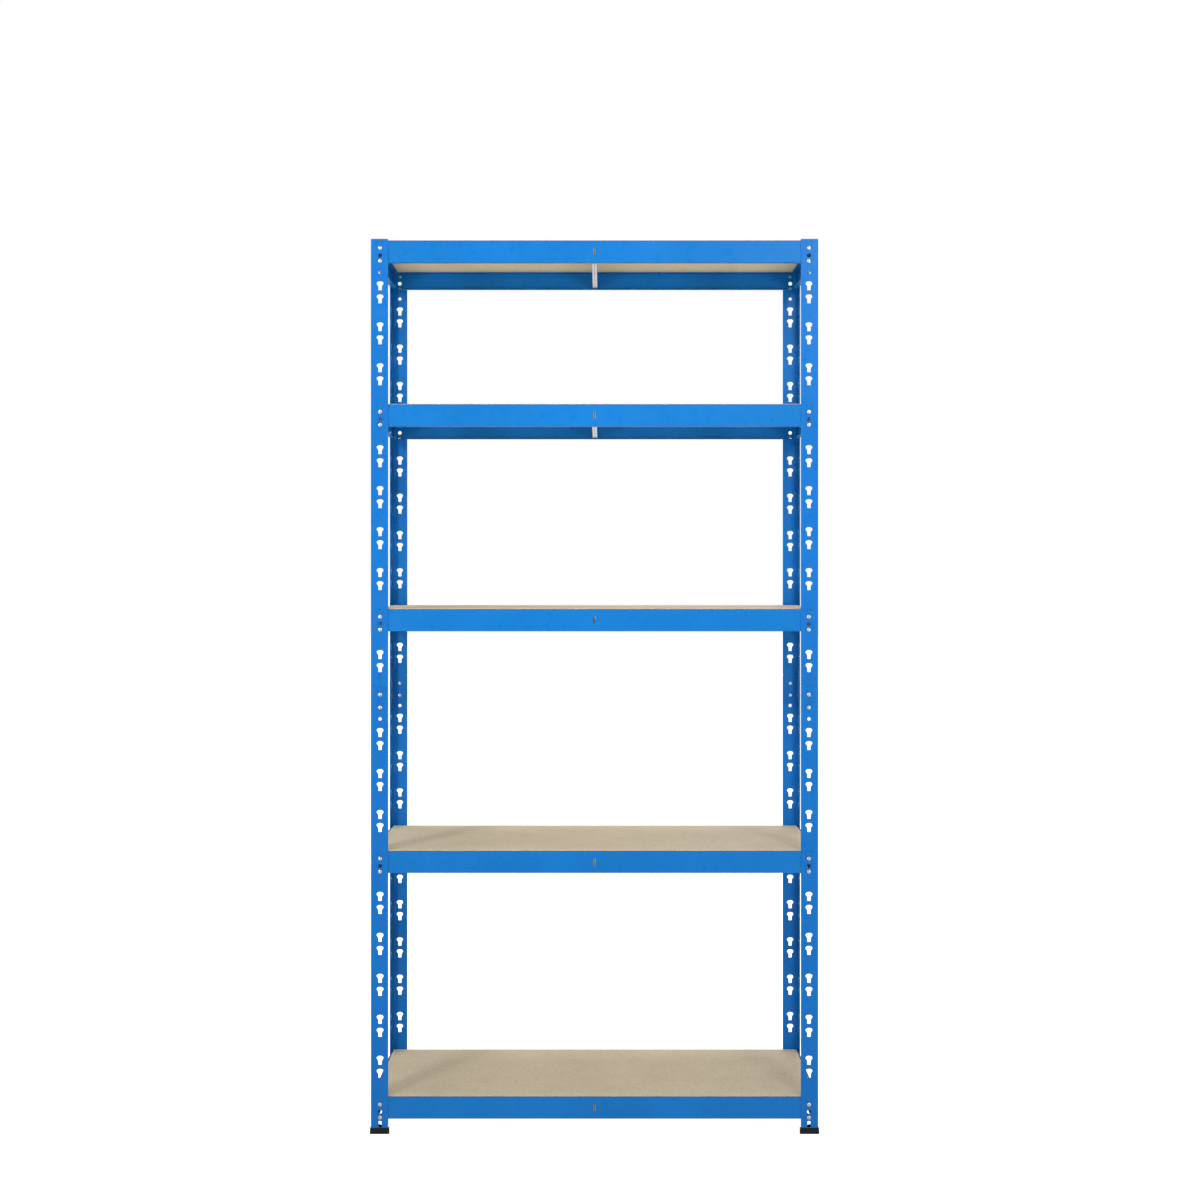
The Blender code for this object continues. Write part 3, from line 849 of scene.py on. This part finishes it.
def add_piece(name, mesh, material, body, node, location, quarter_turns=0):
    """Make one piece on a body. It stands for a CAD node, unless node is None."""
    if not mesh.materials:
        mesh.materials.append(material)
    piece = bpy.data.objects.new(name, mesh)
    piece.location = location
    piece.rotation_euler.z = quarter_turns * math.pi / 2
    bpy.context.scene.collection.objects.link(piece)
    weighted = piece.modifiers.new("flat faces stay flat", "WEIGHTED_NORMAL")
    weighted.keep_sharp = True
    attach(piece, body)
    if node:
        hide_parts(node)
    return piece


def joined(name, meshes):
    """One mesh out of several."""
    whole = bmesh.new()
    for mesh in meshes:
        whole.from_mesh(mesh)
    made = bpy.data.meshes.new(name)
    whole.to_mesh(made)
    whole.free()
    return made


def beam_rivets(name, span):
    """Two rivets at each end of a beam, in its own frame."""
    places = []
    for side in (-1, 1):
        for row in (-1, 1):
            height = row * KEYHOLE_SPACING / 2 - RIVET_SEAT_DROP
            places.append(facing((0, -1, 0), (side * (span / 2 - KEYHOLE_LINE), 0, height)))
    return rivets_mesh(name, places, RIVET_UNDERSIDE, BEAM_WALL)


def splice_rivets():
    """Two rivets in each flange of a splice, in the keyholes of the lower half."""
    places = []
    for drop in (KEYHOLE_TOP, KEYHOLE_TOP + KEYHOLE_SPACING):
        height = -drop - RIVET_SEAT_DROP
        places.append(facing((0, -1, 0), (KEYHOLE_LINE, SPLICE_OUTER, height)))
        places.append(facing((-1, 0, 0), (SPLICE_OUTER, KEYHOLE_LINE, height)))
    return rivets_mesh("splice_rivets", places, SPLICE_HEAD_BASE, SPLICE_WALL)


def build_frame_pieces(paint, rivet_zinc, plastic):
    low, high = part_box("upright_front_left_upper")
    corner_x, corner_y = -low.x, -low.y
    upright = upright_mesh(high.x - low.x, high.z - low.z)
    joint = low.z - SOCKET_CLEARANCE
    splice_low, splice_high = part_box("splice_front_left")
    splice = splice_mesh(splice_high.x + corner_x, splice_low.z - joint, splice_high.z - joint)
    rivets = splice_rivets()
    foot_low, foot_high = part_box("foot_front_left")
    foot = foot_mesh(foot_high.x - foot_low.x, foot_high.z - foot_low.z)
    for corner, (side_x, side_y, turns) in CORNERS.items():
        x, y = side_x * corner_x, side_y * corner_y
        for half in HALVES:
            node = f"upright_{corner}_{half}"
            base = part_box(node)[0].z
            add_piece(f"{node}_steel", upright, paint, "frame", node, (x, y, base), turns)
        node = f"splice_{corner}"
        add_piece(f"{node}_steel", splice, paint, "frame", node, (x, y, joint), turns)
        add_piece(f"{node}_rivets", rivets, rivet_zinc, "frame", None, (x, y, joint), turns)
        node = f"foot_{corner}"
        add_piece(f"{node}_cap", foot, plastic, "frame", node, (x, y, 0), turns)


def build_tier_pieces(paint, zinc, rivet_zinc, wood):
    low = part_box("upright_front_left_upper")[0]
    width, depth = -2 * low.x, -2 * low.y
    across, along = width / 2 - BEAM_FACE_INSET, depth / 2 - BEAM_FACE_INSET
    long_beam = (beam_mesh("long_beam", width, True), beam_rivets("long_beam_rivets", width))
    short_beam = (beam_mesh("short_beam", depth, False), beam_rivets("short_beam_rivets", depth))
    beams = {
        "front": (*long_beam, (0, -along), 0),
        "right": (*short_beam, (across, 0), 1),
        "back": (*long_beam, (0, along), 2),
        "left": (*short_beam, (-across, 0), 3),
    }
    tie_low, tie_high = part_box("tie_bar_1")
    beam_low, beam_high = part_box("front_beam_1")
    middle = (beam_low.z + beam_high.z) / 2
    size = (tie_high.x - tie_low.x, tie_low.z - middle, tie_high.z - middle, tie_high.y)
    tie_bar = joined("tie_bar", [tie_leaf_mesh(*size, side) for side in (-1, 1)])
    board_low, board_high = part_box("board_1")
    board = board_mesh(board_high.x, board_high.y, board_high.z - board_low.z)
    for tier in range(1, TIERS + 1):
        beam_low, beam_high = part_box(f"front_beam_{tier}")
        height = (beam_low.z + beam_high.z) / 2
        body = f"tier_{tier}"
        for side, (beam, rivets, place, turns) in beams.items():
            node = f"{side}_beam_{tier}"
            location = (*place, height)
            add_piece(f"{node}_steel", beam, paint, body, node, location, turns)
            add_piece(f"{node}_rivets", rivets, rivet_zinc, body, None, location, turns)
        node = f"tie_bar_{tier}"
        add_piece(f"{node}_leaves", tie_bar, zinc, body, node, (0, 0, height))
        node = f"board_{tier}"
        seat = (0, 0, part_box(node)[0].z)
        add_piece(f"{node}_panel", board, wood, f"shelf_{tier}", node, seat)


# ---------------------------------------------------------------- studio

def add_light(name, place, target, size, power, spread):
    light = bpy.data.lights.new(name, "AREA")
    light.shape = "RECTANGLE"
    light.size, light.size_y = size
    light.energy = power
    light.spread = math.radians(spread)
    item = bpy.data.objects.new(name, light)
    item.location = place
    item.rotation_euler = (Vector(target) - Vector(place)).to_track_quat("-Z", "Y").to_euler()
    bpy.context.scene.collection.objects.link(item)


def build_world():
    """White to the camera, and dimmer as a light."""
    world = bpy.data.worlds.new("studio")
    world.use_nodes = True
    tree = world.node_tree
    ambient = tree.nodes["Background"]
    ambient.inputs["Color"].default_value = colour(*WHITE)
    ambient.inputs["Strength"].default_value = AMBIENT
    backdrop = add_node(tree, "ShaderNodeBackground", {"Color": colour(*WHITE), "Strength": 1.0})
    seen = add_node(tree, "ShaderNodeLightPath").outputs["Is Camera Ray"]
    choice = add_node(tree, "ShaderNodeMixShader", {0: seen, 1: ambient.outputs[0], 2: backdrop.outputs[0]})
    tree.links.new(choice.outputs[0], tree.nodes["World Output"].inputs["Surface"])
    bpy.context.scene.world = world


def build_floor():
    floor = bmesh.new()
    bmesh.ops.create_grid(floor, x_segments=1, y_segments=1, size=FLOOR_REACH)
    mesh = bpy.data.meshes.new("floor")
    floor.to_mesh(mesh)
    floor.free()
    material = bpy.data.materials.new("floor")
    material.use_nodes = True
    tree = material.node_tree
    shader = tree.nodes["Principled BSDF"]
    shader.inputs["Base Color"].default_value = colour(*FLOOR_GREY)
    shader.inputs["Roughness"].default_value = 0.9
    shader.inputs["Emission Color"].default_value = colour(*WHITE)
    seen = add_node(tree, "ShaderNodeLightPath").outputs["Is Camera Ray"]
    glow = remapped(tree, seen, 0.0, 1.0, FLOOR_BOUNCE, FLOOR_GLOW)
    tree.links.new(glow, shader.inputs["Emission Strength"])
    mesh.materials.append(material)
    item = bpy.data.objects.new("floor", mesh)
    bpy.context.scene.collection.objects.link(item)


def build_camera():
    """A level camera straight in front, so that verticals stay parallel."""
    scene = bpy.context.scene
    front = -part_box("upright_front_left_upper")[0].y
    data = bpy.data.cameras.new("camera")
    data.lens = CAMERA_LENS
    item = bpy.data.objects.new("camera", data)
    item.location = (CAMERA_ASIDE, -front - CAMERA_DISTANCE, CAMERA_HEIGHT)
    item.rotation_euler = (math.pi / 2, 0, 0)
    data.shift_y = CAMERA_SHIFT
    scene.collection.objects.link(item)
    scene.camera = item
    scene.view_settings.view_transform = "Standard"


upright_paint = powder_coat("blue_upright_paint", *UPRIGHT_BLUE)
beam_paint = powder_coat("blue_beam_paint", *BEAM_BLUE)
zinc = zinc_finish("bright_zinc", BRIGHT_ZINC)
rivet_zinc = zinc_finish("dull_zinc", DULL_ZINC)
wood = fibreboard("pressed_board")
plastic = moulded_plastic("black_plastic")
build_frame_pieces(upright_paint, rivet_zinc, plastic)
build_tier_pieces(beam_paint, zinc, rivet_zinc, wood)
build_world()
for softbox in SOFTBOXES:
    add_light(*softbox)
build_floor()
build_camera()
